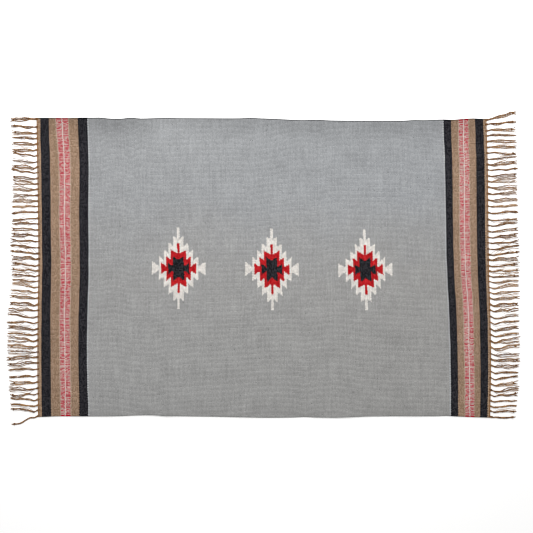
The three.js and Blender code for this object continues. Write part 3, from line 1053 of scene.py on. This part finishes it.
def twined_cord(fringe, end, roots):
    """Paths, radii and tones of the two yarns twined along the end of the cloth: two helices, half a
    turn apart, along the line of the end, mottled along it and with painted shade at the strands' roots."""
    share = np.linspace(0, 1, TWINE_STEPS)
    outer = CLOTH_ENDS[end] + fringe["outward"] * drift(END_DRIFT[end], share)
    near, far = selvedge_line("near", outer), selvedge_line("far", outer)
    y = np.interp(share, (0, 1), (near[0] + TWINE_END, far[-1] - TWINE_END))
    # Painted shade on the cord where each strand leaves it
    cord_shade = np.exp(-(np.abs(y[:, None] - roots).min(1) / TWINE_SHADE_WIDTH) ** 2)
    paths, tones = [], []
    for number, start in enumerate((0, np.pi)):
        turn = 2 * np.pi * y / TWINE_PITCH + start
        x = outer - fringe["outward"] * (TWINE_INSET - TWINE_ASIDE * np.cos(turn))
        paths.append(np.stack((x, y, TWINE_LIFT + TWINE_UP * np.sin(turn)), -1))
        mottles = wander(np.arange(TWINE_MOTTLES) + TWINE_MOTTLES * number, "mottle")
        mottled = smooth_through(np.linspace(0, 1, TWINE_MOTTLES), mottles, share)
        tones.append(1 + mottled - 2 * cord_shade)
    return np.array(paths), np.full((2, TWINE_STEPS), TWINE_RADIUS), np.array(tones)


def yarn_piece(name, groups):
    """Closed tubes in one mesh, from groups of paths, radii, tones, sides and reference directions.
    Each point stores its distance along its tube, its turn round it and its tone, and each tube has
    a strip of the map to itself."""
    points, walls, caps, places, layouts = [], [], [], [], []
    strips = sum(len(paths) for paths, *rest in groups)
    first_point, first_strip = 0, 0
    for paths, radii, tones, sides, reference in groups:
        made, wall, cap = tubes(paths, radii, sides, reference)
        count, steps = paths.shape[:2]
        points.append(made)
        walls.append(wall + first_point)
        caps.append(cap + first_point)
        lengths = np.linalg.norm(np.diff(paths, axis=1), axis=-1)
        reached = np.concatenate((np.zeros((count, 1)), np.cumsum(lengths, 1)), 1)
        turn = np.arange(sides) / sides
        place = np.broadcast_arrays(reached[:, :, None], turn, tones[:, :, None])
        places.append(np.stack(place, -1).reshape(-1, 3))
        across = STRIP_MARGIN + (1 - 2 * STRIP_MARGIN) * turn
        strip = (first_strip + np.arange(count)[:, None, None] + across) / strips
        layout = np.broadcast_arrays(np.linspace(0, 1, steps)[:, None], strip)
        layouts.append(np.stack(layout, -1).reshape(-1, 2))
        first_point += len(made)
        first_strip += count
    piece = mesh_piece(name, np.concatenate(points), (np.concatenate(walls), *caps))
    add_places(piece, "yarn", np.concatenate(places))
    add_map(piece, np.concatenate(layouts)[face_corners(piece)])
    return piece


def warp_cotton():
    """Brown cotton yarn: a twist line winding round it, with painted shade in its grooves and near the
    root, lighter and worn in places along it, and each strand of a tone of its own."""
    finish = Finish("warp_cotton")
    maths, ranged, grain = finish.maths, finish.ranged, finish.grain
    along, around, own = finish.parts(finish.node("Attribute", attribute_name="yarn", output="Vector"))
    turns = maths("MULTIPLY_ADD", along, WARP_TWISTS, around)
    twist = maths("SINE", maths("MULTIPLY", turns, 2 * np.pi))
    fibre = grain(WARP_GRAINS["fibre"], along, around, own)
    paleness = maths("ADD", ranged(own, *PALENESS, -1.0, 1.0), grain(WARP_GRAINS["worn"], along, own))
    colour = finish.mixed(paleness, WARP_DARK, WARP_PALE)
    # Painted shade near the root and in the grooves of the twist, and the fibres' own tone
    tone = finish.joined(
        "MULTIPLY",
        maths("MINIMUM", ranged(along, *ROOT_TONES, 0.0, ROOT_SHADE), ROOT_TONES[1]),
        ranged(twist, *TWIST_TONES, -1.0, 1.0),
        ranged(fibre, *FIBRE_TONES),
    )
    relief = maths("MULTIPLY_ADD", fibre, WARP_RELIEF, twist)
    finish.surfaced({
        "Base Color": finish.shaded(colour, tone),
        "Roughness": ranged(fibre, 0.82, 0.98),
        "Specular IOR Level": 0.15,
        "Sheen Weight": 0.05,
        "Normal": finish.node("Bump", {"Strength": 0.6, "Distance": 0.25 * MM, "Height": relief}),
    })
    return finish.material


brown_cotton = warp_cotton()
upright, lengthwise = np.array((0, 0, 1.0)), np.array((1.0, 0, 0))
for end, fringe in FRINGES.items():
    strands, *lines = strand_lines(fringe, end)
    yarn_paths, yarn_radii = strand_yarns(fringe, strands, *lines)
    fine_paths, fine_radii = loose_yarns(fringe, strands, *lines)
    knotted, knot_paths, knot_radii = strand_knots(fringe, strands, *lines)
    cord_paths, cord_radii, cord_tones = twined_cord(fringe, end, lines[-1][:, 0])
    own_tone = wander(strands, "tone")[:, None]
    for strand, *looks, corner_tone in fringe["corners"]:
        own_tone[strand] = corner_tone
    yarn_tones = np.tile(own_tone, (len(YARN_PLACES), 1))
    fine_tones = np.tile(own_tone + FINE_PALER, (FINE_YARNS, 1))
    twisted = yarn_piece(f"fringe_{end}_yarns", (
        (yarn_paths, yarn_radii, yarn_tones, YARN_SIDES, upright),
        (knot_paths, knot_radii, own_tone[knotted] - KNOT_DARKER, KNOT_SIDES, lengthwise),
        (cord_paths, cord_radii, cord_tones, KNOT_SIDES, upright),
    ))
    loosened = yarn_piece(f"fringe_{end}_loose_yarns", (
        (fine_paths, fine_radii, fine_tones, FINE_SIDES, upright),
    ))
    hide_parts(f"fringe_{end}")
    for piece in (twisted, loosened):
        piece.data.materials.append(brown_cotton)
        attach(piece, "root")

# Studio floor. A plain white floor under the rug, level and much wider than the picture. It glows
# a little, as a lit table does, so that the shadows of the strands stay pale.
FLOOR_GLOW = 0.15
FLOOR_REACH = 30.0
FLOOR_DROP = 0.3 * MM

floor_corners = FLOOR_REACH * np.array(((-1, -1, 0), (1, -1, 0), (1, 1, 0), (-1, 1, 0)))
floor_corners = floor_corners - (0, 0, FLOOR_DROP)
floor = mesh_piece("studio_floor", floor_corners, (np.arange(4)[None],))
floor_paint = Finish("studio_floor")
floor_paint.surfaced({
    "Base Color": (0.97, 0.97, 0.97, 1),
    "Emission Color": (1, 1, 1, 1),
    "Emission Strength": FLOOR_GLOW,
    "Roughness": 0.9,
    "Specular IOR Level": 0.0,
})
floor.data.materials.append(floor_paint.material)

# Studio light. An even white surround and one large soft lamp beyond the far side, so the far
# half of the rug is a little lighter and cooler than the near half.
SURROUND = 0.53
SURROUND_COLOUR = (1, 0.995, 0.985, 1)
LAMP_PLACE = (-0.15, 1.9, 2.6)
LAMP_WIDTH = 2.2
LAMP_POWER = 95.0
LAMP_COLOUR = (0.985, 0.985, 0.99)

world = bpy.data.worlds.new("studio")
world.use_nodes = True
world.node_tree.nodes["Background"].inputs["Color"].default_value = SURROUND_COLOUR
world.node_tree.nodes["Background"].inputs["Strength"].default_value = SURROUND
bpy.context.scene.world = world
lamp = bpy.data.objects.new("soft_lamp", bpy.data.lights.new("soft_lamp", "AREA"))
lamp.data.size = LAMP_WIDTH
lamp.data.energy = LAMP_POWER
lamp.data.color = LAMP_COLOUR
lamp.location = LAMP_PLACE
lamp.rotation_euler = (-lamp.location).to_track_quat("-Z", "Y").to_euler()
bpy.context.scene.collection.objects.link(lamp)
bpy.context.scene.view_settings.view_transform = "Standard"
